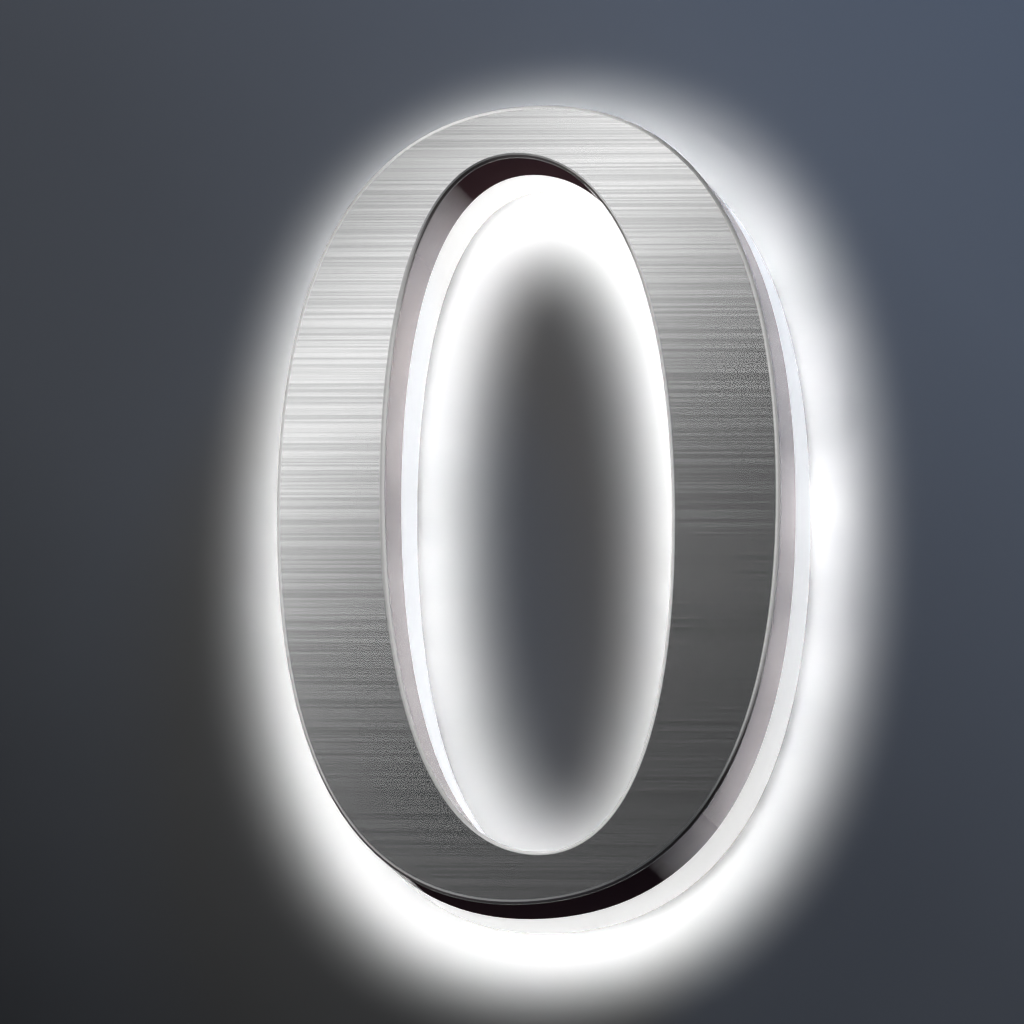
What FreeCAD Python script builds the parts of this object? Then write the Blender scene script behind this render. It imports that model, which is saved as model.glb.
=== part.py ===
"""Illuminated house number: the numeral 0 in brushed stainless steel over an opal acrylic light body.

Frame: +Z up, the front faces -Y, the wall is the plane y = 0 and the origin lies on the wall at the
centre of the four studs. Each piece is placed by its distance from the wall, counted to the front.
Every plate, strip, seal and trough follows the numeral's two contours, drawn in by its own inset.
"""
import FreeCAD, Part
import math
import os
import Sketcher

SIZES = {
    # contours of the numeral, measured from its centre
    "half_width": 63.0,
    "half_height": 100.0,
    "outline_tension": 0.655,
    "side_stroke": 27.0,
    "end_stroke": 13.0,
    "counter_tension": 0.634,
    "counter_lean": 0.175,
    # layers from the wall to the front
    "wall_gap": 8.0,
    "rim_depth": 16.0,
    "shell_depth": 18.0,
    "face_thickness": 1.5,
    "face_edge_radius": 0.9,
    "strip_thickness": 1.0,
    # light body
    "back_thickness": 4.0,
    "spigot_wall": 2.5,
    "spigot_land": 2.0,
    "spigot_clearance": 0.25,
    "groove_width": 2.0,
    "groove_depth": 1.0,
    "seal_clearance": 0.15,
    # wall fixing
    "stud_inset": 4.5,
    "stud_rise": 45.0,
    "stud_radius": 2.0,
    "stud_thread_radius": 1.8,
    "stud_in_wall": 30.0,
    "stud_tip": 0.6,
    "insert_radius": 2.8,
    "insert_length": 8.0,
    "insert_relief": 0.5,
    "boss_wall": 2.2,
    "spacer_wall": 2.8,
    "stud_clearance": 0.2,
    # board fixing
    "screw_radius": 1.5,
    "screw_head_radius": 2.75,
    "screw_engagement": 10.0,
    "screw_clearance": 0.2,
    "thread_clearance": 0.05,
    "post_radius": 3.2,
    "post_height": 4.5,
    "post_engagement": 5.5,
    "standoff_width": 5.5,
    "washer_radius": 3.4,
    "washer_thickness": 0.8,
    # light board
    "board_clearance": 0.5,
    "board_thickness": 1.6,
    "led_length": 3.5,
    "led_width": 2.8,
    "led_height": 0.8,
    "led_frame": 0.5,
    "led_well": 0.4,
    "resistor_length": 3.2,
    "resistor_width": 1.6,
    "resistor_height": 0.6,
    "rectifier_length": 8.0,
    "rectifier_width": 6.4,
    "rectifier_height": 2.6,
    "capacitor_radius": 4.0,
    "capacitor_height": 11.0,
    "capacitor_crimp": 0.5,
    "capacitor_crimp_height": 2.0,
    "terminal_length": 10.0,
    "terminal_width": 8.0,
    "terminal_height": 9.0,
    "terminal_chamfer": 1.5,
    "terminal_pitch": 5.0,
    "terminal_screw_radius": 1.6,
    "terminal_screw_length": 5.0,
    "terminal_screw_recess": 1.0,
    "wire_entry_width": 3.0,
    "wire_entry_height": 3.5,
    "wire_entry_depth": 4.0,
    # cable inlet
    "grommet_bore": 3.1,
    "grommet_neck": 5.0,
    "grommet_flange": 6.8,
    "grommet_flange_thickness": 1.5,
    "grommet_clearance": 0.2,
}

# the stroke's centre line is divided into equal slots, clockwise from the top; a light
# sits in the middle of each slot, and everything else on the board sits between two slots
LIGHTS_PER_STRING = 4
STRINGS = 8
SLOTS = LIGHTS_PER_STRING * STRINGS
FIXING_SLOTS = (3, 8, 13, 19, 24, 29)
RECTIFIER_SLOT = 7
TERMINAL_SLOT = 9
GROMMET_SLOT = 9.5
CAPACITOR_SLOT = 25
RESISTOR_OFFSET = 2
SAMPLES_PER_SLOT = 12

V = FreeCAD.Vector
TO_FRONT = V(0, -1, 0)
TO_WALL = V(0, 1, 0)
COMPASS = (V(0, 0, 1), V(1, 0, 0), V(0, 0, -1), V(-1, 0, 0))
FACING_FRONT = FreeCAD.Rotation(V(1, 0, 0), 90)

# distances from the wall
BACK = "sizes.wall_gap"
FLOOR = f"({BACK} + sizes.back_thickness)"
SHOULDER = f"({BACK} + sizes.rim_depth)"
GROOVE = f"({SHOULDER} + sizes.spigot_land)"
OUTER_LAND = f"({GROOVE} + sizes.groove_width)"
SPIGOT_END = f"({OUTER_LAND} + sizes.spigot_land)"
FRONT = f"({SHOULDER} + sizes.shell_depth)"
PLATE_BACK = f"({FRONT} - sizes.face_thickness)"
BOARD_FRONT = f"({PLATE_BACK} - sizes.post_height)"
BOARD_BACK = f"({BOARD_FRONT} - sizes.board_thickness)"
WASHER_BACK = f"({BOARD_BACK} - sizes.washer_thickness)"

# a right-angled countersunk head is as high as it stands out from its shank
HEAD_HEIGHT = "(sizes.screw_head_radius - sizes.screw_radius)"
COUNTERSINK_ANGLE = -45

# below this, in mm, a point lies on an axis of its sketch
ON_AXIS = 1e-7

# angles of a rounded edge's sections, in degrees from the wall of the strip to the face
EDGE_STEPS = (0, 30, 60, 90)

# insets from the contours
LAND_INSET = "(sizes.strip_thickness + sizes.spigot_clearance)"
CORE_INSET = f"({LAND_INSET} + sizes.groove_depth)"
TROUGH_INSET = f"({LAND_INSET} + sizes.spigot_wall)"
BOARD_INSET = "(sizes.strip_thickness + sizes.board_clearance)"

doc = FreeCAD.newDocument("house_number")
sheet = doc.addObject("Spreadsheet::Sheet", "sizes")
for row, (alias, size) in enumerate(SIZES.items(), start=1):
    sheet.set(f"A{row}", alias)
    sheet.set(f"B{row}", str(size))
    sheet.setAlias(f"B{row}", alias)
doc.recompute()


def number(expression):
    """The present value of an expression."""
    return float(sheet.evalExpression(expression))


# ---------------------------------------------------------------- contours

COUNTER_HALF_WIDTH = "(sizes.half_width - sizes.side_stroke)"
COUNTER_HALF_HEIGHT = "(sizes.half_height - sizes.end_stroke)"
OUTLINE = {
    "across": "sizes.half_width",
    "up": "sizes.half_height",
    "tension": "sizes.outline_tension",
    "lean": "0",
    "inwards": 1,
}
COUNTER = {
    "across": COUNTER_HALF_WIDTH,
    "up": COUNTER_HALF_HEIGHT,
    "tension": "sizes.counter_tension",
    "lean": "sizes.counter_lean",
    "inwards": -1,
}
BOTH = (OUTLINE, COUNTER)


def quarter_poles(contour, inset, level):
    """The four poles of a contour's upper right quarter, or of its lower right one turned upwards.

    The inset is kept at both ends and in the middle of the curve, square to it.
    """
    wide, high, tension = contour["across"], contour["up"], contour["tension"]
    lean = f"({level} * {contour['lean']})"
    step = f"({contour['inwards']} * {inset})"
    slope = f"sqrt(1 + {lean}^2)"
    rise = f"({high} + {lean} * {wide})"
    reach = f"sqrt({rise}^2 + {wide}^2)"
    share = f"(0.5 + 0.375 * {tension})"
    top = (f"(-{step} * {lean} / {slope})", f"({high} - {step} / {slope})")
    side = (f"({wide} - {step})", f"(-{lean} * {wide})")
    middle = (
        f"({wide} * {share} - {step} * {rise} / {reach})",
        f"(({high} - {lean} * {wide}) * {share} - {step} * {wide} / {reach})",
    )
    across, drop = (f"(8 / 3 * ({middle[n]} - ({top[n]} + {side[n]}) / 2))" for n in range(2))
    after_top = (f"({top[0]} + {across})", f"({top[1]} - {lean} * {across})")
    before_side = (side[0], f"({side[1]} + {drop} + {lean} * {across})")
    return top, after_top, before_side, side


def ring_poles(contour, inset):
    """The twelve poles of a whole contour, clockwise from the top."""
    upper = quarter_poles(contour, inset, 1)
    lower = quarter_poles(contour, inset, -1)
    right = list(upper) + [(x, f"-{z}") for x, z in (lower[2], lower[1])]
    left = [(f"-{x}", f"-{z}") for x, z in right]
    return right + left


def pinned(geometry, position, x, z):
    """Constraints that hold a point of a sketch at two expressions, each with its expression."""
    held = []
    for kind, axis, expression in (("DistanceX", -2, x), ("DistanceY", -1, z)):
        offset = number(expression)
        if abs(offset) < ON_AXIS:
            held.append((Sketcher.Constraint("PointOnObject", geometry, position, axis), None))
        elif offset > 0:
            held.append((Sketcher.Constraint(kind, -1, 1, geometry, position, offset), expression))
        else:
            held.append((Sketcher.Constraint(kind, geometry, position, -1, 1, -offset), f"-({expression})"))
    return held


def constrain(sketch, held):
    """Add constraints to a sketch and bind those that have an expression."""
    first = len(sketch.Constraints)
    sketch.addConstraint([constraint for constraint, _ in held])
    for index, (_, expression) in enumerate(held, start=first):
        if expression:
            sketch.setExpression(f"Constraints[{index}]", expression)


def flat_sketch(body, name, distance):
    """An empty sketch square to the wall's normal, at a distance from the wall."""
    sketch = body.newObject("Sketcher::SketchObject", name)
    plane = next(item for item in body.Origin.OriginFeatures if item.Role == "XZ_Plane")
    sketch.AttachmentSupport = (plane, "")
    sketch.MapMode = "FlatFace"
    sketch.setExpression("AttachmentOffset.Base.z", distance)
    return sketch


def draw_contour(sketch, contour, inset):
    """Draw a contour as four cubic curves whose poles are bound to the sheet."""
    poles = ring_poles(contour, inset)
    curves = []
    for first in range(0, 12, 3):
        corners = [poles[(first + n) % 12] for n in range(4)]
        points = [V(number(x), number(z), 0) for x, z in corners]
        curve = Part.BSplineCurve(points, None, None, False, 3, None, False)
        curves.append(sketch.addGeometry(curve, False))
    for quarter, curve in enumerate(curves):
        sketch.addConstraint(Sketcher.Constraint("Coincident", curve, 2, curves[(quarter + 1) % 4], 1))
    for curve in curves:
        sketch.exposeInternalGeometry(curve)
    handles = {curve: [] for curve in curves}
    for constraint in sketch.Constraints:
        if constraint.Type == "InternalAlignment" and constraint.Second in handles:
            if sketch.Geometry[constraint.First].TypeId == "Part::GeomCircle":
                handles[constraint.Second].append(constraint.First)
    held = []
    for quarter, curve in enumerate(curves):
        for n, handle in enumerate(handles[curve][:3]):
            held += pinned(handle, 3, *poles[3 * quarter + n])
    constrain(sketch, held)


def contour_sketch(body, name, contours, inset, distance):
    """The numeral's contours, drawn in by an inset, at a distance from the wall."""
    sketch = flat_sketch(body, name, distance)
    for contour in contours:
        draw_contour(sketch, contour, inset)
    return sketch


# ---------------------------------------------------------------- centre line of the stroke

def curve_weights(share):
    """The four weights of a cubic curve at a share of its length."""
    rest = 1 - share
    return rest**3, 3 * rest**2 * share, 3 * rest * share**2, share**3


def contour_point(contour, turn):
    """Expressions for x and z of a point on a contour, at a share of the full turn."""
    quarter = int(4 * turn)
    start = COMPASS[quarter]
    end = COMPASS[(quarter + 1) % 4]
    w0, w1, w2, w3 = curve_weights(4 * turn - quarter)
    near = f"({w0 + w1:.9f} + {w2:.9f} * {contour['tension']})"
    far = f"({w2 + w3:.9f} + {w1:.9f} * {contour['tension']})"
    x = f"({start.x} * {near} + {end.x} * {far}) * {contour['across']}"
    z = f"({start.z} * {near} + {end.z} * {far}) * {contour['up']}"
    return x, f"{z} - {contour['lean']} * {x}"


def stroke_point(turn):
    """Expressions for the point half way between the contours, at a share of the full turn."""
    outer_x, outer_z = contour_point(OUTLINE, turn)
    inner_x, inner_z = contour_point(COUNTER, turn)
    return f"({outer_x} + {inner_x}) / 2", f"({outer_z} + {inner_z}) / 2"


def equal_steps():
    """Turns that divide the centre line into half slots of one length."""
    samples = SLOTS * SAMPLES_PER_SLOT
    turns = [n / samples for n in range(samples)]
    points = []
    for turn in turns:
        x, z = stroke_point(turn)
        points.append(V(number(x), 0, number(z)))
    lengths = [0.0]
    for n in range(samples):
        lengths.append(lengths[-1] + points[n].distanceToPoint(points[(n + 1) % samples]))
    turns.append(1.0)
    steps = []
    for half_slot in range(2 * SLOTS):
        wanted = lengths[-1] * half_slot / (2 * SLOTS)
        after = next(n for n, length in enumerate(lengths) if length > wanted)
        share = (wanted - lengths[after - 1]) / (lengths[after] - lengths[after - 1])
        steps.append(turns[after - 1] + share * (turns[after] - turns[after - 1]))
    return steps


TURNS = equal_steps()


def slot_spot(slot):
    """Expressions for x and z at a slot number, whole or half."""
    return stroke_point(TURNS[int(2 * slot) % (2 * SLOTS)])


def slot_angle(slot):
    """The centre line's direction at a slot, in degrees about the Y axis."""
    behind = [number(value) for value in slot_spot(slot - 0.5)]
    ahead = [number(value) for value in slot_spot(slot + 0.5)]
    return math.degrees(math.atan2(behind[1] - ahead[1], ahead[0] - behind[0]))


def slot_position(slot, distance):
    """The point at a slot and a distance from the wall."""
    x, z = slot_spot(slot)
    return V(number(x), -number(distance), number(z))


FIXING_SPOTS = [slot_spot(slot) for slot in FIXING_SLOTS]
STUD_ACROSS = "(sizes.half_width - sizes.side_stroke / 2 - sizes.stud_inset)"
STUD_SPOTS = [
    (f"{side} * {STUD_ACROSS}", f"{level} * sizes.stud_rise")
    for side in (-1, 1)
    for level in (-1, 1)
]
GROMMET_SPOT = slot_spot(GROMMET_SLOT)


# ---------------------------------------------------------------- ways of making pieces

def new_body(name):
    """An empty body whose label names the piece."""
    body = doc.addObject("PartDesign::Body", name)
    body.Label = name
    body.AllowCompound = True
    return body


def circles(body, name, spots, radius, distance):
    """A sketch of equal circles square to the wall, at a distance from it."""
    sketch = flat_sketch(body, name, distance)
    held = []
    for x, z in spots:
        circle = Part.Circle(V(number(x), number(z), 0), V(0, 0, 1), number(radius))
        geometry = sketch.addGeometry(circle, False)
        held += pinned(geometry, 3, x, z)
        held.append((Sketcher.Constraint("Radius", geometry, number(radius)), radius))
    constrain(sketch, held)
    return sketch


def extrude(body, kind, name, profile, direction, length):
    """A pad or pocket of a profile along a direction, checked to change the solid."""
    before = body.Shape.Volume if body.Tip else 0
    feature = body.newObject(f"PartDesign::{kind}", name)
    feature.Profile = profile
    feature.UseCustomVector = True
    feature.Direction = direction
    feature.setExpression("Length", length)
    doc.recompute()
    change = feature.Shape.Volume - before
    if change * (1 if kind == "Pad" else -1) <= 0:
        raise ValueError(f"{body.Label}: {name} changes nothing")
    return feature


def band(name, contour, near, far, distance, depth):
    """A closed strip that follows one contour between two insets from it."""
    outside, inside = (near, far) if contour is OUTLINE else (far, near)
    body = new_body(name)
    strip = contour_sketch(body, "outside", [contour], outside, distance)
    extrude(body, "Pad", "strip", strip, TO_FRONT, depth)
    hollow = contour_sketch(body, "inside", [contour], inside, distance)
    extrude(body, "Pocket", "hollow", hollow, TO_FRONT, depth)
    return body


def eased_edge(body, kind, name, contour, distance, radius):
    """A loft that rounds the edge along a contour, ending at a distance from the wall."""
    turned_in = contour is OUTLINE
    sections = []
    for angle in EDGE_STEPS:
        inset = f"({radius} * (1 - cos({angle})))"
        start = f"({distance} - {radius} * (1 - sin({angle})))"
        sections.append(contour_sketch(body, f"{name}_{angle}", [contour], inset, start))
    doc.recompute()
    before = body.Shape.Volume
    feature = body.newObject(f"PartDesign::{kind}", name)
    feature.Profile = sections[0]
    feature.Sections = sections[1:]
    feature.Ruled = True
    doc.recompute()
    if (feature.Shape.Volume > before) != turned_in:
        raise ValueError(f"{body.Label}: {name} changes nothing")
    return feature


def place(item, spot, distance):
    """Stand an item on a spot, with its own Z axis to the front, at a distance from the wall."""
    item.Placement = FreeCAD.Placement(V(), FACING_FRONT)
    item.setExpression("Placement.Base.x", spot[0])
    item.setExpression("Placement.Base.y", f"-({distance})")
    item.setExpression("Placement.Base.z", spot[1])


def rod(name, spot, radius, distance, length, far_radius=None):
    """A round bar square to the wall, or a cone where its far radius differs."""
    item = doc.addObject("Part::Cone" if far_radius else "Part::Cylinder", name)
    item.setExpression("Radius1" if far_radius else "Radius", radius)
    if far_radius:
        item.setExpression("Radius2", far_radius)
    item.setExpression("Height", length)
    place(item, spot, distance)
    return item


def joined(name, items):
    """One solid of several that touch."""
    fusion = doc.addObject("Part::MultiFuse", name)
    fusion.Shapes = items
    return fusion


def group(name, items):
    """Separate solids that share a name."""
    compound = doc.addObject("Part::Compound", name)
    compound.Label = name
    compound.Links = items
    return compound


def cut(name, base, tool):
    """A base with a tool taken out of it."""
    remainder = doc.addObject("Part::Cut", name)
    remainder.Label = name
    remainder.Base = base
    remainder.Tool = tool
    return remainder


def tubes(name, spots, radius, bore, distance, length):
    """Equal tubes square to the wall."""
    outsides = []
    bores = []
    for n, spot in enumerate(spots):
        outsides.append(rod(f"{name}_outside_{n}", spot, radius, distance, length))
        bores.append(rod(f"{name}_bore_{n}", spot, bore, distance, length))
    return cut(name, group(f"{name}_outsides", outsides), group(f"{name}_bores", bores))


def blocks(name, slots, length, width, height, distance):
    """Equal blocks centred on slots, turned to run along the stroke."""
    items = []
    for slot in slots:
        block = doc.addObject("Part::Box", f"{name}_at_{str(slot).replace('.', '_')}")
        block.setExpression("Length", length)
        block.setExpression("Width", width)
        block.setExpression("Height", height)
        turn = FreeCAD.Rotation(TO_WALL, slot_angle(slot)).multiply(FACING_FRONT)
        corner = V(-number(length) / 2, -number(width) / 2, 0)
        block.Placement = FreeCAD.Placement(slot_position(slot, distance) + turn.multVec(corner), turn)
        items.append(block)
    return group(name, items)


# ---------------------------------------------------------------- steel shell

def face_plate():
    """The brushed face, cut to both contours, with its front edges eased."""
    body = new_body("face_plate")
    radius = "sizes.face_edge_radius"
    blank = contour_sketch(body, "blank", [OUTLINE], "0", PLATE_BACK)
    extrude(body, "Pad", "plate", blank, TO_FRONT, f"sizes.face_thickness - {radius}")
    eased_edge(body, "AdditiveLoft", "outer_edge", OUTLINE, FRONT, radius)
    opening = contour_sketch(body, "opening", [COUNTER], "0", PLATE_BACK)
    extrude(body, "Pocket", "counter_opening", opening, TO_FRONT, "sizes.face_thickness")
    eased_edge(body, "SubtractiveLoft", "inner_edge", COUNTER, FRONT, radius)
    return body


def returns():
    """The two bent strips that are welded behind the face along its contours."""
    depth = "sizes.shell_depth - sizes.face_thickness"
    outer = band("outer_return", OUTLINE, "0", "sizes.strip_thickness", SHOULDER, depth)
    inner = band("inner_return", COUNTER, "0", "sizes.strip_thickness", SHOULDER, depth)
    return [outer, inner]


def face_posts():
    """Shouldered posts welded to the back of the face; each ends in a threaded stud."""
    stud_length = "(sizes.board_thickness + sizes.washer_thickness + sizes.post_engagement)"
    stud_start = f"({BOARD_FRONT} - {stud_length})"
    posts = []
    for n, spot in enumerate(FIXING_SPOTS):
        collar = rod(f"post_collar_{n}", spot, "sizes.post_radius", BOARD_FRONT, "sizes.post_height")
        stud = rod(f"post_stud_{n}", spot, "sizes.screw_radius", stud_start, stud_length)
        posts.append(joined(f"post_{n}", [collar, stud]))
    return group("face_posts", posts)


# ---------------------------------------------------------------- light body

def diffuser():
    """The milled opal body: a rim flush with the shell, a spigot inside it and a trough for the lights."""
    body = new_body("diffuser")
    rim = contour_sketch(body, "rim_sketch", BOTH, "0", BACK)
    extrude(body, "Pad", "rim", rim, TO_FRONT, "sizes.rim_depth")
    spigot = (
        ("inner_land", LAND_INSET, SHOULDER, "sizes.spigot_land"),
        ("groove_core", CORE_INSET, GROOVE, "sizes.groove_width"),
        ("outer_land", LAND_INSET, OUTER_LAND, "sizes.spigot_land"),
    )
    for name, inset, distance, length in spigot:
        step = contour_sketch(body, f"{name}_sketch", BOTH, inset, distance)
        extrude(body, "Pad", name, step, TO_FRONT, length)
    trough = contour_sketch(body, "trough_sketch", BOTH, TROUGH_INSET, SPIGOT_END)
    extrude(body, "Pocket", "trough", trough, TO_WALL, f"{SPIGOT_END} - {FLOOR}")
    boss_radius = "sizes.insert_radius + sizes.boss_wall"
    boss_height = "sizes.insert_length + sizes.insert_relief + sizes.boss_wall - sizes.back_thickness"
    boss_circles = circles(body, "boss_circles", STUD_SPOTS, boss_radius, FLOOR)
    extrude(body, "Pad", "bosses", boss_circles, TO_FRONT, boss_height)
    holes = (
        ("insert_seats", STUD_SPOTS, "sizes.insert_radius", "sizes.insert_length"),
        ("insert_reliefs", STUD_SPOTS, "sizes.stud_thread_radius + sizes.stud_clearance",
         "sizes.insert_length + sizes.insert_relief"),
        ("screw_holes", FIXING_SPOTS, "sizes.screw_radius + sizes.screw_clearance", "sizes.back_thickness"),
        ("grommet_hole", [GROMMET_SPOT], "sizes.grommet_neck + sizes.grommet_clearance",
         "sizes.back_thickness"),
    )
    for name, spots, radius, depth in holes:
        rings = circles(body, f"{name}_circles", spots, radius, BACK)
        extrude(body, "Pocket", name, rings, TO_FRONT, depth)
    sink_radius = "sizes.screw_head_radius + sizes.screw_clearance"
    sinks = circles(body, "sink_circles", FIXING_SPOTS, sink_radius, BACK)
    sink = extrude(body, "Pocket", "countersinks", sinks, TO_FRONT, HEAD_HEIGHT)
    sink.TaperAngle = COUNTERSINK_ANGLE
    doc.recompute()
    return body


def seals():
    """The two silicone cords in the spigot's grooves, one along each contour."""
    near = "(sizes.strip_thickness + sizes.seal_clearance)"
    far = f"({CORE_INSET} - sizes.seal_clearance)"
    start = f"({GROOVE} + sizes.seal_clearance)"
    depth = "sizes.groove_width - 2 * sizes.seal_clearance"
    outer = band("outer_seal", OUTLINE, near, far, start, depth)
    inner = band("inner_seal", COUNTER, near, far, start, depth)
    return [outer, inner]


def clamp_screws():
    """Countersunk screws from behind the back, into the standoffs."""
    shank_start = f"({BACK} + {HEAD_HEIGHT})"
    shank_length = f"({FLOOR} - {shank_start} + sizes.screw_engagement)"
    screws = []
    radius = "sizes.screw_radius"
    for n, spot in enumerate(FIXING_SPOTS):
        head = rod(f"screw_head_{n}", spot, "sizes.screw_head_radius", BACK, HEAD_HEIGHT, radius)
        shank = rod(f"screw_shank_{n}", spot, radius, shank_start, shank_length)
        screws.append(joined(f"screw_{n}", [head, shank]))
    return group("clamp_screws", screws)


# ---------------------------------------------------------------- light board

def led_board():
    """The ring-shaped board that carries the lights, facing the wall."""
    body = new_body("led_board")
    ring = contour_sketch(body, "ring", BOTH, BOARD_INSET, BOARD_BACK)
    extrude(body, "Pad", "board", ring, TO_FRONT, "sizes.board_thickness")
    radius = "sizes.screw_radius + sizes.screw_clearance"
    holes = circles(body, "post_circles", FIXING_SPOTS, radius, BOARD_BACK)
    extrude(body, "Pocket", "post_holes", holes, TO_FRONT, "sizes.board_thickness")
    return body


def leds():
    """The light packages and the phosphor that fills the well in each."""
    slots = [n + 0.5 for n in range(SLOTS)]
    start = f"({BOARD_BACK} - sizes.led_height)"
    frame = "2 * sizes.led_frame"
    wells = blocks("led_phosphors", slots, f"sizes.led_length - {frame}", f"sizes.led_width - {frame}",
                   "sizes.led_well", start)
    cases = blocks("led_cases", slots, "sizes.led_length", "sizes.led_width", "sizes.led_height", start)
    return [cut("led_packages", cases, wells), wells]


def string_resistors():
    """One resistor for each string of lights."""
    slots = [LIGHTS_PER_STRING * n + RESISTOR_OFFSET for n in range(STRINGS)]
    start = f"({BOARD_BACK} - sizes.resistor_height)"
    return blocks("string_resistors", slots, "sizes.resistor_length", "sizes.resistor_width",
                  "sizes.resistor_height", start)


def bridge_rectifier():
    """The rectifier package on the back of the board."""
    start = f"({BOARD_BACK} - sizes.rectifier_height)"
    return blocks("bridge_rectifier", [RECTIFIER_SLOT], "sizes.rectifier_length", "sizes.rectifier_width",
                  "sizes.rectifier_height", start)


def smoothing_capacitor():
    """The capacitor's can, with the crimp round it near the board."""
    spot = slot_spot(CAPACITOR_SLOT)
    top = f"({BOARD_BACK} - sizes.capacitor_height)"
    crimp_start = f"({BOARD_BACK} - sizes.capacitor_crimp_height)"
    neck = "(sizes.capacitor_radius - sizes.capacitor_crimp)"
    crimp = "sizes.capacitor_crimp"
    body_length = f"(sizes.capacitor_height - sizes.capacitor_crimp_height - {crimp})"
    foot_start = f"({crimp_start} + {crimp})"
    foot_length = f"(sizes.capacitor_crimp_height - {crimp})"
    can = rod("capacitor_can", spot, "sizes.capacitor_radius", top, body_length)
    shoulder_start = f"({crimp_start} - {crimp})"
    shoulder = rod("capacitor_shoulder", spot, "sizes.capacitor_radius", shoulder_start, crimp, neck)
    flare = rod("capacitor_flare", spot, neck, crimp_start, crimp, "sizes.capacitor_radius")
    foot = rod("capacitor_foot", spot, "sizes.capacitor_radius", foot_start, foot_length)
    whole = joined("smoothing_capacitor", [can, shoulder, flare, foot])
    whole.Label = "smoothing_capacitor"
    return whole


def supply_terminal():
    """The two-pole terminal block, with its wire entries towards the inlet, and its screws."""
    x, z = slot_spot(TERMINAL_SLOT)
    start = f"({BOARD_BACK} - sizes.terminal_height)"
    block = doc.addObject("Part::Box", "terminal_block")
    block.setExpression("Length", "sizes.terminal_length")
    block.setExpression("Width", "sizes.terminal_width")
    block.setExpression("Height", "sizes.terminal_height")
    corner = (f"{x} - sizes.terminal_length / 2", f"{z} - sizes.terminal_width / 2")
    place(block, corner, start)
    poles = [f"{x} + {side} * sizes.terminal_pitch / 2" for side in (-1, 1)]
    entries = []
    wells = []
    screws = []
    for n, pole in enumerate(poles):
        entry = doc.addObject("Part::Box", f"wire_entry_{n}")
        entry.setExpression("Length", "sizes.wire_entry_width")
        entry.setExpression("Width", "sizes.wire_entry_depth")
        entry.setExpression("Height", "sizes.wire_entry_height")
        low_corner = (f"{pole} - sizes.wire_entry_width / 2", f"{z} - sizes.terminal_width / 2")
        place(entry, low_corner, f"({BOARD_BACK} - sizes.wire_entry_height)")
        entries.append(entry)
        radius = "sizes.terminal_screw_radius"
        well_depth = "(sizes.terminal_screw_recess + sizes.terminal_screw_length)"
        wells.append(rod(f"screw_well_{n}", (pole, z), radius, start, well_depth))
        screw_start = f"({start} + sizes.terminal_screw_recess)"
        screw = rod(f"terminal_screw_{n}", (pole, z), radius, screw_start, "sizes.terminal_screw_length")
        screws.append(screw)
    housing = cut("supply_terminal", block, group("terminal_hollows", entries + wells))
    return [housing, group("terminal_screws", screws)]


def board_standoffs():
    """Hexagonal pillars, threaded through, from the diffuser's floor to the washers."""
    length = f"({WASHER_BACK} - {FLOOR})"
    bore = "sizes.screw_radius + sizes.thread_clearance"
    pillars = []
    bores = []
    for n, spot in enumerate(FIXING_SPOTS):
        pillar = doc.addObject("Part::Prism", f"pillar_{n}")
        pillar.Polygon = 6
        pillar.setExpression("Circumradius", "sizes.standoff_width / 2 / cos(30)")
        pillar.setExpression("Height", length)
        place(pillar, spot, FLOOR)
        pillars.append(pillar)
        bores.append(rod(f"pillar_bore_{n}", spot, bore, FLOOR, length))
    return cut("board_standoffs", group("pillars", pillars), group("pillar_bores", bores))


def board_washers():
    """Nylon washers between the board and the standoffs."""
    radius = "sizes.washer_radius"
    bore = "sizes.screw_radius + sizes.screw_clearance"
    thickness = "sizes.washer_thickness"
    return tubes("board_washers", FIXING_SPOTS, radius, bore, WASHER_BACK, thickness)


# ---------------------------------------------------------------- wall fixing and cable inlet

def threaded_inserts():
    """Brass inserts pressed into the diffuser's bosses."""
    bore = "sizes.stud_thread_radius + sizes.thread_clearance"
    return tubes("threaded_inserts", STUD_SPOTS, "sizes.insert_radius", bore, BACK, "sizes.insert_length")


def wall_studs():
    """Studs with a thick end for the wall, chamfered at its tip, and a thinner thread for the insert."""
    tip_radius = "(sizes.stud_radius - sizes.stud_tip)"
    tip_start = "-sizes.stud_in_wall"
    shank_start = f"({tip_start} + sizes.stud_tip)"
    studs = []
    for n, spot in enumerate(STUD_SPOTS):
        tip = rod(f"stud_tip_{n}", spot, tip_radius, tip_start, "sizes.stud_tip", "sizes.stud_radius")
        shank = rod(f"stud_shank_{n}", spot, "sizes.stud_radius", shank_start, f"-{shank_start}")
        thread_length = f"{BACK} + sizes.insert_length"
        thread = rod(f"stud_thread_{n}", spot, "sizes.stud_thread_radius", "0", thread_length)
        studs.append(joined(f"stud_{n}", [tip, shank, thread]))
    return group("wall_studs", studs)


def wall_spacers():
    """Sleeves on the studs that hold the sign off the wall."""
    bore = "sizes.stud_radius + sizes.stud_clearance"
    radius = f"{bore} + sizes.spacer_wall"
    return tubes("wall_spacers", STUD_SPOTS, radius, bore, "0", BACK)


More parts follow.
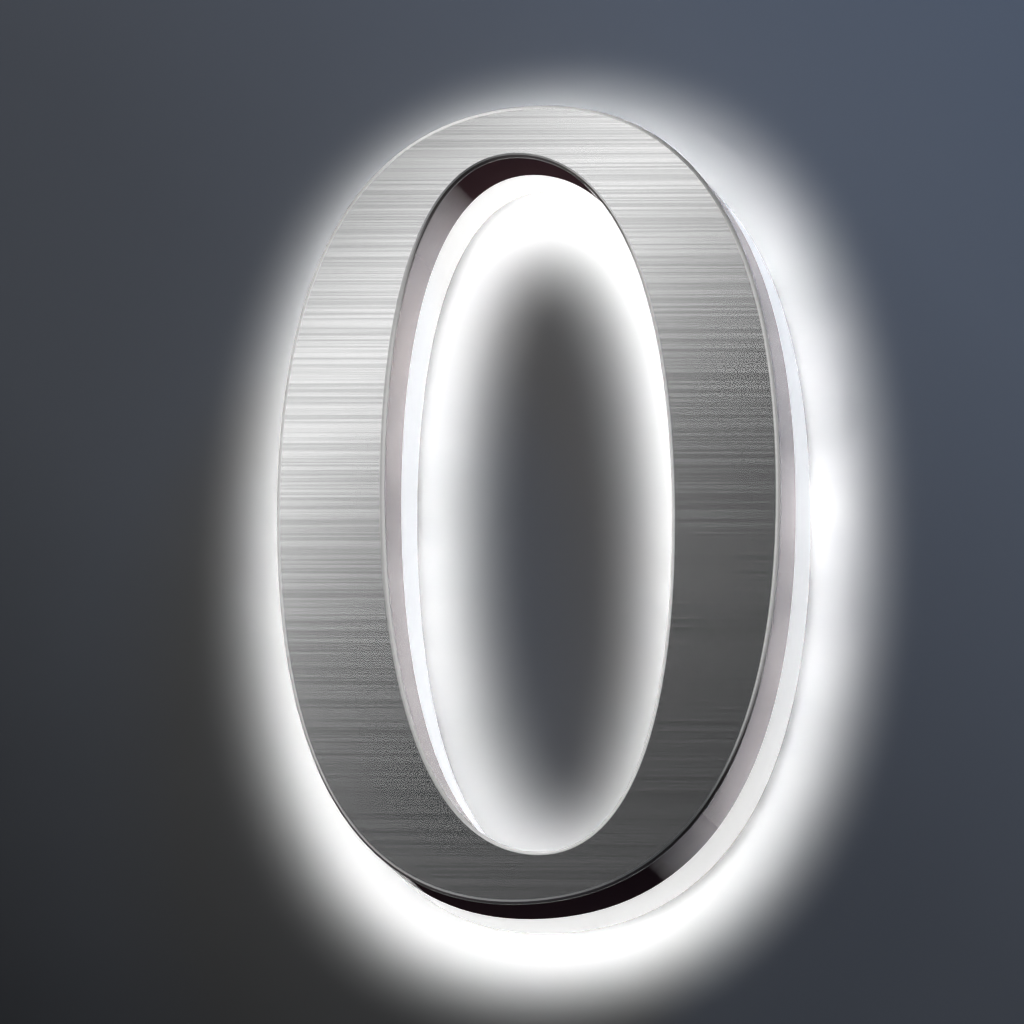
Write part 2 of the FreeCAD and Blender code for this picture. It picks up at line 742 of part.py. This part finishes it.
def cable_grommet():
    """The rubber grommet in the back, gripping its hole between two flanges."""
    gap = "sizes.grommet_clearance"
    flange = "sizes.grommet_flange_thickness"
    rear_start = f"({BACK} - {gap} - {flange})"
    front_start = f"({FLOOR} + {gap})"
    total = f"({front_start} + {flange} - {rear_start})"
    rear = rod("grommet_rear_flange", GROMMET_SPOT, "sizes.grommet_flange", rear_start, flange)
    neck = rod("grommet_neck", GROMMET_SPOT, "sizes.grommet_neck", rear_start, total)
    front = rod("grommet_front_flange", GROMMET_SPOT, "sizes.grommet_flange", front_start, flange)
    bore = rod("grommet_bore", GROMMET_SPOT, "sizes.grommet_bore", rear_start, total)
    return cut("cable_grommet", joined("grommet_outside", [rear, neck, front]), bore)


PIECES = [
    face_plate(), *returns(), face_posts(),
    diffuser(), *seals(), clamp_screws(),
    led_board(), *leds(), string_resistors(), bridge_rectifier(), smoothing_capacitor(),
    *supply_terminal(), board_standoffs(), board_washers(),
    threaded_inserts(), wall_studs(), wall_spacers(), cable_grommet(),
]
doc.recompute()

for item in doc.Objects:
    if "Invalid" in item.State or "Error" in item.State:
        raise ValueError(f"{item.Name} failed: {item.State}")
os.makedirs("parts", exist_ok=True)
for piece in PIECES:
    if piece.Shape.isNull() or not piece.Shape.isValid():
        raise ValueError(f"{piece.Label} has no valid shape")
    piece.Shape.exportStep(f"parts/{piece.Label}.step")
    print(piece.Label, len(piece.Shape.Solids), round(piece.Shape.Volume, 1))
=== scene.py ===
import math

import bpy
from mathutils import Matrix, Vector


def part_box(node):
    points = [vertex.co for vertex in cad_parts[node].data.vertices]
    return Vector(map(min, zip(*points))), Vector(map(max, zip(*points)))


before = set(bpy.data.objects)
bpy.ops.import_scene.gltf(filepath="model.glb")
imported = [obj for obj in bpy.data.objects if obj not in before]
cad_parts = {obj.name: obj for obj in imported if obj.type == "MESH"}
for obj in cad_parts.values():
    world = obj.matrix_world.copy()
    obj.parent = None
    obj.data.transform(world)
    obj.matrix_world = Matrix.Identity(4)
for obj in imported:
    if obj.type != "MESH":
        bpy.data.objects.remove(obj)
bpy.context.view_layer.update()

MM = 0.001
WHITE = (1, 1, 1)

# ---------------------------------------------------------------- the photograph's view
# Lengths are in metres, and the lens and its sensor in millimetres.
# The camera stands to the right of the sign and below it.

AZIMUTH = math.radians(13.65)
ELEVATION = math.radians(-14.06)
IMAGE_PIXELS = 1024
FRAME_WIDTH = 0.2491
FACE_CENTRE_PIXEL = (527.0, 502.0)
LENS = 600.0
SENSOR = 36.0
FARTHEST_SEEN = 20


def face_centre():
    """The middle of the brushed face's front."""
    low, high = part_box("face_plate")
    return Vector(((low[0] + high[0]) / 2, low[1], (low[2] + high[2]) / 2))


def add_camera():
    """A long lens at the photograph's viewing angle."""
    back = Vector((
        math.sin(AZIMUTH) * math.cos(ELEVATION),
        -math.cos(AZIMUTH) * math.cos(ELEVATION),
        math.sin(ELEVATION),
    ))
    right = Vector((math.cos(AZIMUTH), math.sin(AZIMUTH), 0))
    up = back.cross(right)
    pixel = FRAME_WIDTH / IMAGE_PIXELS
    across = (FACE_CENTRE_PIXEL[0] - IMAGE_PIXELS / 2) * pixel
    above = (IMAGE_PIXELS / 2 - FACE_CENTRE_PIXEL[1]) * pixel
    target = face_centre() - right * across - up * above
    distance = FRAME_WIDTH * LENS / SENSOR
    data = bpy.data.cameras.new("camera")
    data.lens = LENS
    data.sensor_width = SENSOR
    data.clip_end = FARTHEST_SEEN
    camera = bpy.data.objects.new("camera", data)
    turn = Matrix((right, up, back)).transposed().to_4x4()
    camera.matrix_world = Matrix.Translation(target + back * distance) @ turn
    bpy.context.collection.objects.link(camera)
    bpy.context.scene.camera = camera


# ---------------------------------------------------------------- material tools
# The Mix node's colour sockets come after those for numbers and vectors.

MIX_FACTOR = 0
MIX_FIRST = 6
MIX_SECOND = 7
MIX_RESULT = 2


class Shader:
    """A material's node tree with short ways to add and join nodes."""

    def __init__(self, name, **sockets):
        """A new material; each keyword is a socket of its surface shader and that socket's value."""
        self.material = bpy.data.materials.new(name)
        self.material.use_nodes = True
        self.tree = self.material.node_tree
        self.surface = self.tree.nodes["Principled BSDF"]
        for socket, value in sockets.items():
            self.surface.inputs[socket.replace("_", " ").title()].default_value = value

    def add(self, kind, settings=None, **inputs):
        """A new node; settings are its properties, and inputs are values or sockets to join."""
        item = self.tree.nodes.new(f"ShaderNode{kind}")
        for key, value in (settings or {}).items():
            setattr(item, key, value)
        for key, value in inputs.items():
            self.feed(item.inputs[key.replace("_", " ")], value)
        return item

    def feed(self, socket, value):
        """Join a socket to another one, or give it a value of its own."""
        if isinstance(value, bpy.types.NodeSocket):
            self.tree.links.new(value, socket)
        else:
            socket.default_value = value

    def link(self, socket, value):
        """Join a socket of the surface shader to another node's."""
        self.tree.links.new(value, self.surface.inputs[socket])

    def position(self, scale=(1, 1, 1), tilt=0.0):
        """Object coordinates, in metres, turned about the Y axis and then stretched."""
        coordinates = self.add("TexCoord").outputs["Object"]
        if tilt:
            turned = self.add("VectorRotate", {"rotation_type": "Y_AXIS"}, Vector=coordinates, Angle=tilt)
            coordinates = turned.outputs["Vector"]
        mapping = self.add("Mapping", Scale=scale)
        self.tree.links.new(coordinates, mapping.inputs["Vector"])
        return mapping.outputs["Vector"]

    def noise(self, scale, stretch=(1, 1, 1), detail=3.0, roughness=0.5, tilt=0.0):
        """Noise with a scale and a stretch, which together are its cycles in a metre of X, Y and Z."""
        place = self.position(stretch, tilt)
        item = self.add("TexNoise", Vector=place, Scale=scale, Detail=detail, Roughness=roughness)
        return item.outputs["Fac"]

    def ramp(self, value, *stops):
        """A colour ramp; each stop is a place and a grey level or a colour."""
        item = self.add("ValToRGB", Fac=value)
        elements = item.color_ramp.elements
        while len(elements) < len(stops):
            elements.new(0.5)
        for element, (place, colour) in zip(elements, stops):
            element.position = place
            rgb = colour if isinstance(colour, tuple) else (colour,) * 3
            element.color = (*rgb, 1)
        return item.outputs["Color"]

    def map_range(self, value, low, high, start=0.0, end=1.0):
        """A value that runs from low to high while another runs from start to end."""
        item = self.add("MapRange", Value=value, From_Min=start, From_Max=end, To_Min=low, To_Max=high)
        return item.outputs["Result"]

    def mix(self, factor, first, second):
        """A mix of two colours, each given as a value or as a socket."""
        item = self.add("Mix", {"data_type": "RGBA"})
        self.feed(item.inputs[MIX_FACTOR], factor)
        for place, colour in ((MIX_FIRST, first), (MIX_SECOND, second)):
            self.feed(item.inputs[place], (*colour, 1) if isinstance(colour, tuple) else colour)
        return item.outputs[MIX_RESULT]

    def math(self, operation, first, second):
        """A sum or a product of two values or sockets."""
        item = self.add("Math", {"operation": operation})
        self.feed(item.inputs[0], first)
        self.feed(item.inputs[1], second)
        return item.outputs[0]

    def bump(self, height, distance, strength, normal=None):
        """A bump of the surface, a given number of metres high, on its own normal or on another."""
        item = self.add("Bump", Height=height, Distance=distance, Strength=strength)
        if normal:
            self.feed(item.inputs["Normal"], normal)
        self.tree.links.new(item.outputs["Normal"], self.surface.inputs["Normal"])


def dress(material, *names):
    """Give CAD nodes a material in every slot."""
    for name in names:
        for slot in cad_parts[name].material_slots:
            slot.material = material


# ---------------------------------------------------------------- the brushed face
# Its grain lies across the numeral and is turned a little. Tones are stops of a ramp over the grain.

GRAIN_TILT = math.radians(-3.4)
FINE_GRAIN = (8, 200, 2800)
MEDIUM_GRAIN = (4, 100, 1400)
FINE_SHARE = 0.35
FACE_TONES = ((0.42, 0.52), (0.5, 0.61), (0.58, 0.70))
FACE_ROUGHNESS = (0.226, 0.222)

# The rounded edge gets a colour of its own as the normal's Y rises from the first of these values to the
# second. That colour is painted light: painted shade where the edge faces down and a painted highlight
# where it faces up, going from dark to bright as the normal's Z rises from the first value to the second.
EDGE_NORMAL_Y = (-0.995, -0.95)
EDGE_LIGHT_NORMAL_Z = (-0.35, -0.10)
EDGE_PAINTED_SHADE = (0.10, 0.09, 0.09)
EDGE_PAINTED_HIGHLIGHT = (0.97, 0.96, 0.95)
EDGE_MORE_ROUGHNESS = 0.12

# How much forward direction is added to a facet's normal, and the share of it by 1 plus the normal's Y.
EDGE_LEAN = 2.4
EDGE_LEAN_SHARES = ((0.05, 0.0), (0.29, 0.5), (0.74, 1.0), (0.90, 0.0))


def brushed_face():
    """Stainless steel with a fine grain across it, with painted shade and a painted highlight where its
    edge rounds over.
    """
    shader = Shader("brushed_face", metallic=1.0)
    fine = shader.noise(1.0, FINE_GRAIN, detail=2.0, roughness=0.7, tilt=GRAIN_TILT)
    medium = shader.noise(1.0, MEDIUM_GRAIN, detail=2.0, roughness=0.6, tilt=GRAIN_TILT)
    fine_part = shader.math("MULTIPLY", fine, FINE_SHARE)
    grain = shader.math("ADD", fine_part, shader.math("MULTIPLY", medium, 1 - FINE_SHARE))
    normal = shader.add("NewGeometry").outputs["Normal"]
    part = shader.add("SeparateXYZ", Vector=normal).outputs
    edge = shader.map_range(part["Y"], 0.0, 1.0, *EDGE_NORMAL_Y)
    edge_lit_share = shader.map_range(part["Z"], 0.0, 1.0, *EDGE_LIGHT_NORMAL_Z)
    # Painted light on the edge: a dark colour where it faces down and a bright one where it faces up.
    painted_edge_light = shader.mix(edge_lit_share, EDGE_PAINTED_SHADE, EDGE_PAINTED_HIGHLIGHT)
    shader.link("Base Color", shader.mix(edge, shader.ramp(grain, *FACE_TONES), painted_edge_light))
    gloss = shader.map_range(grain, *FACE_ROUGHNESS, start=0.4, end=0.6)
    edge_roughness = shader.math("MULTIPLY", edge, EDGE_MORE_ROUGHNESS)
    shader.link("Roughness", shader.math("ADD", gloss, edge_roughness))
    rounded = rounded_normal(shader, normal, part["Y"])
    shader.bump(grain, distance=0.000004, strength=0.05, normal=rounded)
    return shader.material


def rounded_normal(shader, normal, normal_y):
    """The face's normal, with the steep facets of its edge leant to the front like a small radius."""
    slope = shader.math("ADD", normal_y, 1.0)
    share = shader.ramp(slope, *EDGE_LEAN_SHARES)
    lean = shader.math("MULTIPLY", share, -EDGE_LEAN)
    total = shader.add("VectorMath", {"operation": "ADD"})
    shader.feed(total.inputs[0], normal)
    shader.feed(total.inputs[1], shader.add("CombineXYZ", Y=lean).outputs["Vector"])
    unit = shader.add("VectorMath", {"operation": "NORMALIZE"})
    shader.feed(unit.inputs[0], total.outputs[0])
    return unit.outputs[0]


# ---------------------------------------------------------------- the two returns
# The painted shade, a dark non-metal colour where the strip faces down, is full where the normal's Z is
# under the first value and gone over the second. The pale painted sheen, which stands in for soft
# highlights, grows from none to its most as the mottle's noise rises from the first of its values to the
# second.

OUTER_SHADE_Z = (-0.85, -0.50)
INNER_SHADE_Z = (-0.74, -0.15)
RETURN_PAINTED_SHADE = (0.060, 0.032, 0.036)
RETURN_GRAIN = (900, 3000, 40)
RETURN_MOTTLE = 14.0
RETURN_TONES = ((0.35, (0.86, 0.76, 0.76)), (0.65, (0.94, 0.84, 0.84)))
RETURN_PAINTED_SHEEN = (0.99, 0.91, 0.91)
PAINTED_SHEEN_MOST = 0.8
PAINTED_SHEEN_MOTTLE = (0.42, 0.62)
RETURN_SPECULAR = 0.5
RETURN_ROUGHNESS = (0.20, 0.28)


def satin_return(name, shade_z):
    """A bent strip: satin steel with a warm tint and a fine grain, painted sheen in patches and painted
    shade where it faces down.
    """
    shader = Shader(name)
    grain = shader.noise(1.0, RETURN_GRAIN, detail=3.0, roughness=0.6)
    mottle = shader.noise(RETURN_MOTTLE, detail=2.0)
    share = shader.map_range(mottle, 0.0, PAINTED_SHEEN_MOST, *PAINTED_SHEEN_MOTTLE)
    # Painted sheen: pale patches mixed into the colour in place of soft highlights.
    steel = shader.mix(share, shader.ramp(grain, *RETURN_TONES), RETURN_PAINTED_SHEEN)
    normal = shader.add("NewGeometry").outputs["Normal"]
    normal_z = shader.add("SeparateXYZ", Vector=normal).outputs["Z"]
    # Painted shade: where the strip faces down, its colour turns dark and stops being metal.
    unshaded = shader.map_range(normal_z, 0.0, 1.0, *shade_z)
    shader.link("Base Color", shader.mix(unshaded, RETURN_PAINTED_SHADE, steel))
    shader.link("Metallic", unshaded)
    shader.link("Specular IOR Level", shader.math("MULTIPLY", unshaded, RETURN_SPECULAR))
    shader.link("Roughness", shader.map_range(mottle, *RETURN_ROUGHNESS, start=0.3, end=0.7))
    shader.bump(grain, distance=0.00002, strength=0.3)
    return shader.material


# ---------------------------------------------------------------- the lit acrylic

OPAL = (0.60, 0.61, 0.62, 1)
GLOW_COLOUR = (1.0, 0.985, 0.96, 1)
GLOW = 0.62
GLOW_UNEVENNESS = 0.04
HAZE = 30.0
HAZE_ROUGHNESS = (0.28, 0.45)
MILLING_MARKS = (300, 5000, 300)


def opal_acrylic():
    """Opal acrylic that glows almost evenly, with faint milling marks and haze."""
    shader = Shader("opal_acrylic", base_color=OPAL, emission_color=GLOW_COLOUR)
    haze = shader.noise(HAZE, detail=3.0)
    dimmest = (1 - GLOW_UNEVENNESS) * GLOW
    brightest = (1 + GLOW_UNEVENNESS) * GLOW
    shader.link("Emission Strength", shader.map_range(haze, dimmest, brightest, start=0.3, end=0.7))
    shader.link("Roughness", shader.map_range(haze, *HAZE_ROUGHNESS))
    marks = shader.noise(1.0, MILLING_MARKS, detail=2.0)
    shader.bump(marks, distance=0.00002, strength=0.3)
    return shader.material


# ---------------------------------------------------------------- the smaller pieces
# Each finish has a colour, a roughness and the CAD nodes that wear it. Its grain darkens the colour in
# places, to the given share of itself.

METALS = {
    "spacer_steel": ((0.62, 0.61, 0.60), 0.3, ("wall_spacers",)),
    "stud_steel": (
        (0.58, 0.58, 0.58), 0.35, ("wall_studs", "face_posts", "clamp_screws", "terminal_screws"),
    ),
    "insert_brass": ((0.72, 0.57, 0.30), 0.3, ("threaded_inserts", "board_standoffs")),
}
MOULDINGS = {
    "grommet_rubber": ((0.035, 0.035, 0.035), 0.6, ("cable_grommet",)),
    "seal_silicone": ((0.75, 0.75, 0.73), 0.4, ("outer_seal", "inner_seal")),
    "board_mask": ((0.85, 0.86, 0.85), 0.35, ("led_board",)),
    "led_case": ((0.86, 0.86, 0.83), 0.3, ("led_packages",)),
    "led_phosphor": ((0.92, 0.80, 0.35), 0.3, ("led_phosphors",)),
    "package_black": ((0.03, 0.03, 0.03), 0.5, ("string_resistors", "bridge_rectifier")),
    "capacitor_sleeve": ((0.04, 0.05, 0.12), 0.35, ("smoothing_capacitor",)),
    "terminal_green": ((0.08, 0.35, 0.16), 0.45, ("supply_terminal",)),
    "washer_nylon": ((0.82, 0.80, 0.74), 0.45, ("board_washers",)),
}
METAL_GRAIN = (600, 600, 600)
METAL_WORN = 0.75
MOULDED_GRAIN = 250.0
MOULDED_DARK = 0.8


def plain_metal(name, colour, roughness):
    """Turned or drawn bar: metal with fine wear in its colour and gloss."""
    shader = Shader(name, metallic=1.0)
    grain = shader.noise(1.0, METAL_GRAIN, detail=4.0)
    worn = tuple(METAL_WORN * value for value in colour)
    shader.link("Base Color", shader.ramp(grain, (0.3, worn), (0.6, colour)))
    gloss = shader.map_range(grain, roughness + 0.1, roughness - 0.08, start=0.3, end=0.7)
    shader.link("Roughness", gloss)
    shader.bump(grain, distance=0.00003, strength=0.4)
    return shader.material


def moulded(name, colour, roughness):
    """Moulded plastic or rubber with a fine texture."""
    shader = Shader(name)
    grain = shader.noise(MOULDED_GRAIN, detail=4.0)
    dark = tuple(MOULDED_DARK * value for value in colour)
    shader.link("Base Color", shader.ramp(grain, (0.35, dark), (0.6, colour)))
    gloss = shader.map_range(grain, roughness - 0.06, roughness + 0.08, start=0.3, end=0.7)
    shader.link("Roughness", gloss)
    shader.bump(grain, distance=0.00005, strength=0.4)
    return shader.material


def dress_nodes():
    """A finish for every CAD node."""
    dress(brushed_face(), "face_plate")
    dress(satin_return("outer_return_steel", OUTER_SHADE_Z), "outer_return")
    dress(satin_return("inner_return_steel", INNER_SHADE_Z), "inner_return")
    dress(opal_acrylic(), "diffuser")
    for name, (colour, roughness, nodes) in METALS.items():
        dress(plain_metal(name, colour, roughness), *nodes)
    for name, (colour, roughness, nodes) in MOULDINGS.items():
        dress(moulded(name, colour, roughness), *nodes)


# ---------------------------------------------------------------- stage
# The wall stands at Y = 0 and grows paler to the upper right by painted light, a gradient painted into its
# colour in place of light falling on it. A point's place on the ramp of tones is the middle, plus the
# slope times its X and Z, plus a little mottle.

FLOOR_Z = -0.42
FLOOR_FRONT = -0.9
FLOOR_REACH = 1.6
FLOOR_TONES = ((0.3, 0.70), (0.7, 0.76))
FLOOR_CLOUDS = 3.0
WALL_REACH = 0.7
WALL_TOP = 0.6
WALL_LIGHT_SLOPE = 2.4
WALL_MIDDLE = 0.6
WALL_MOTTLE = 0.04
WALL_CLOUDS = 30.0
WALL_PAINTED_LIGHT_TONES = ((0.0, 0.034), (0.4, 0.112), (0.6, 0.126), (1.0, 0.195))


def sheet(name, corners, material):
    """A flat four-sided stage piece."""
    mesh = bpy.data.meshes.new(name)
    mesh.from_pydata(corners, [], [(0, 1, 2, 3)])
    item = bpy.data.objects.new(name, mesh)
    item.data.materials.append(material)
    bpy.context.collection.objects.link(item)
    return item


def floor_material():
    """A pale, plain floor."""
    shader = Shader("stage_floor", roughness=0.7)
    shader.link("Base Color", shader.ramp(shader.noise(FLOOR_CLOUDS), *FLOOR_TONES))
    return shader.material


def wall_material():
    """A dark wall, paler to the upper right by painted light, that is clear when it is seen from behind.
    """
    shader = Shader("stage_wall", roughness=0.8)
    place = shader.add("SeparateXYZ", Vector=shader.position()).outputs
    rise_x = shader.math("MULTIPLY", place["X"], WALL_LIGHT_SLOPE)
    rise_z = shader.math("MULTIPLY", place["Z"], WALL_LIGHT_SLOPE)
    mottle = shader.math("MULTIPLY", shader.noise(WALL_CLOUDS, detail=4.0), WALL_MOTTLE)
    rise = shader.math("ADD", shader.math("ADD", rise_x, rise_z), mottle)
    painted_light_place = shader.math("ADD", rise, WALL_MIDDLE)
    # Painted light: the wall's colour pales towards the upper right.
    shader.link("Base Color", shader.ramp(painted_light_place, *WALL_PAINTED_LIGHT_TONES))
    clear = shader.add("BsdfTransparent")
    blend = shader.add("MixShader", Fac=shader.add("NewGeometry").outputs["Backfacing"])
    shader.tree.links.new(shader.surface.outputs[0], blend.inputs[1])
    shader.tree.links.new(clear.outputs[0], blend.inputs[2])
    output = next(item for item in shader.tree.nodes if item.type == "OUTPUT_MATERIAL")
    shader.tree.links.new(blend.outputs[0], output.inputs["Surface"])
    return shader.material


def add_stage():
    """The floor and the wall; the wall's sheet is handed back."""
    floor = [
        (-FLOOR_REACH, FLOOR_FRONT, FLOOR_Z),
        (FLOOR_REACH, FLOOR_FRONT, FLOOR_Z),
        (FLOOR_REACH, FLOOR_REACH, FLOOR_Z),
        (-FLOOR_REACH, FLOOR_REACH, FLOOR_Z),
    ]
    wall = [
        (-WALL_REACH, 0, FLOOR_Z),
        (WALL_REACH, 0, FLOOR_Z),
        (WALL_REACH, 0, WALL_TOP),
        (-WALL_REACH, 0, WALL_TOP),
    ]
    sheet("stage_floor", floor, floor_material())
    return sheet("stage_wall", wall, wall_material())


# ---------------------------------------------------------------- studio light
# The strip lamp makes the bright band across the face, and the key lamp the softer light above it.
# The other soft lamps are what the face's lower part, its edge and the returns mirror.
# The wash lamp tints the wall's upper right blue.

WORLD_COLOUR = (0.92, 0.95, 1.0, 1)
WORLD_LEVEL = 0.035
BAND_TURN = 37.5
SOFTBOXES = {
    "strip": {"place": (-0.141, -0.54, 0.191), "size": (0.60, 0.034), "radiance": 3.7, "turn": BAND_TURN},
    "key": {"place": (-0.370, -0.54, 0.465), "size": (0.42, 0.30), "radiance": 0.47, "turn": BAND_TURN},
    "low": {"place": (-0.233, -0.54, -0.181), "size": (0.40, 0.30), "radiance": 0.55},
    "left": {"place": (-0.52, -0.48, 0.17), "size": (0.20, 0.45), "radiance": 0.9},
    "right": {"place": (0.26, -0.67, 0.17), "size": (0.20, 0.45), "radiance": 1.0},
    "top": {"place": (-0.16, -0.475, 0.525), "size": (0.45, 0.20), "radiance": 1.1},
}
WASH = {
    "place": (0.30, -0.36, 0.42), "target": (0.12, 0, 0.14), "size": (0.16, 0.16),
    "radiance": 10.0, "colour": (0.36, 0.80, 1.70),
}


def add_world():
    """A faint, even light from all around."""
    world = bpy.data.worlds.new("studio")
    world.use_nodes = True
    background = world.node_tree.nodes["Background"]
    background.inputs["Color"].default_value = WORLD_COLOUR
    background.inputs["Strength"].default_value = WORLD_LEVEL
    bpy.context.scene.world = world


def softbox(name, place, target, size, radiance, turn=0.0, colour=WHITE):
    """A soft lamp of a given width and height, aimed at a point and turned by degrees in its own plane."""
    data = bpy.data.lights.new(name, "AREA")
    data.shape = "RECTANGLE"
    data.size, data.size_y = size
    data.energy = radiance * math.pi * size[0] * size[1]
    data.color = colour
    lamp = bpy.data.objects.new(name, data)
    aim = (Vector(target) - Vector(place)).to_track_quat("-Z", "Y").to_matrix().to_4x4()
    lamp.matrix_world = Matrix.Translation(place) @ aim @ Matrix.Rotation(math.radians(turn), 4, "Z")
    lamp.visible_camera = False
    bpy.context.collection.objects.link(lamp)
    return lamp


def add_lights():
    """The world and the soft lamps round the sign."""
    add_world()
    centre = face_centre()
    for name, lamp in SOFTBOXES.items():
        softbox(name, target=centre, **lamp)
    wash = softbox("wash", **WASH)
    wash.visible_glossy = False


# ---------------------------------------------------------------- glow on the wall
# Each ring of lamps has half its width and height, how far its curves' handles reach, how much it
# leans, its number of lamps, and where it is moved to. It has its power per metre too, and what share
# of that is added at its top and bottom. Both rings stand in front of the wall at the lit rim's height.

COMPASS = ((0, 1), (1, 0), (0, -1), (-1, 0))
OUTER_HALO = {
    "across": 66 * MM, "up": 101.5 * MM, "tension": 0.655, "lean": 0, "lamps": 64,
    "place": (-3.3 * MM, -15.5 * MM, -1.5 * MM), "watts_per_metre": 0.48, "more_at_ends": 0.2,
}
INNER_HALO = {
    "across": 33.2 * MM, "up": 84 * MM, "tension": 0.634, "lean": 0.175, "lamps": 44,
    "place": (-2.3 * MM, -15.5 * MM, 0), "watts_per_metre": 0.48, "more_at_ends": -0.15,
}
HALO_REACH = 26 * MM
HALO_LAMP_SIZE = 5 * MM
FACING_WALL = (math.radians(90), 0, 0)


def ring_point(ring, turn):
    """A point of the ring on the wall, at a share of the full turn from the top."""
    quarter = int(4 * turn) % 4
    share = 4 * turn - int(4 * turn)
    rest = 1 - share
    start, end = COMPASS[quarter], COMPASS[(quarter + 1) % 4]
    near = rest**3 + 3 * rest**2 * share + 3 * rest * share**2 * ring["tension"]
    far = share**3 + 3 * rest * share**2 + 3 * rest**2 * share * ring["tension"]
    x = ring["across"] * (start[0] * near + end[0] * far)
    z = ring["up"] * (start[1] * near + end[1] * far)
    return Vector((x, 0, z - ring["lean"] * x))


def halo_lamp(name, ring, first, second, lit):
    """One small lamp between two points of a ring, as strong as the stretch between them is long."""
    share = 1 + ring["more_at_ends"] * (first.z / ring["up"])**2
    data = bpy.data.lights.new(name, "AREA")
    data.shape = "DISK"
    data.size = HALO_LAMP_SIZE
    data.spread = 2 * math.atan(-HALO_REACH / ring["place"][1])
    data.energy = ring["watts_per_metre"] * (second - first).length * share
    lamp = bpy.data.objects.new(name, data)
    lamp.location = (first + second) / 2 + Vector(ring["place"])
    lamp.rotation_euler = FACING_WALL
    lamp.visible_camera = False
    lamp.visible_glossy = False
    lamp.light_linking.receiver_collection = lit
    lamp.light_linking.blocker_collection = lit
    bpy.context.collection.objects.link(lamp)


def add_halo(name, ring, lit):
    """The glow of a lit rim: small lamps along a ring that light the given collection and nothing else."""
    lamps = ring["lamps"]
    for n in range(lamps):
        first = ring_point(ring, n / lamps)
        second = ring_point(ring, (n + 1) / lamps)
        halo_lamp(f"{name}_{n}", ring, first, second, lit)


# ---------------------------------------------------------------- the scene

add_camera()
dress_nodes()
wall_only = bpy.data.collections.new("halo_receivers")
wall_only.objects.link(add_stage())
add_lights()
add_halo("outer_halo", OUTER_HALO, wall_only)
add_halo("inner_halo", INNER_HALO, wall_only)
bpy.context.scene.view_settings.view_transform = "Standard"
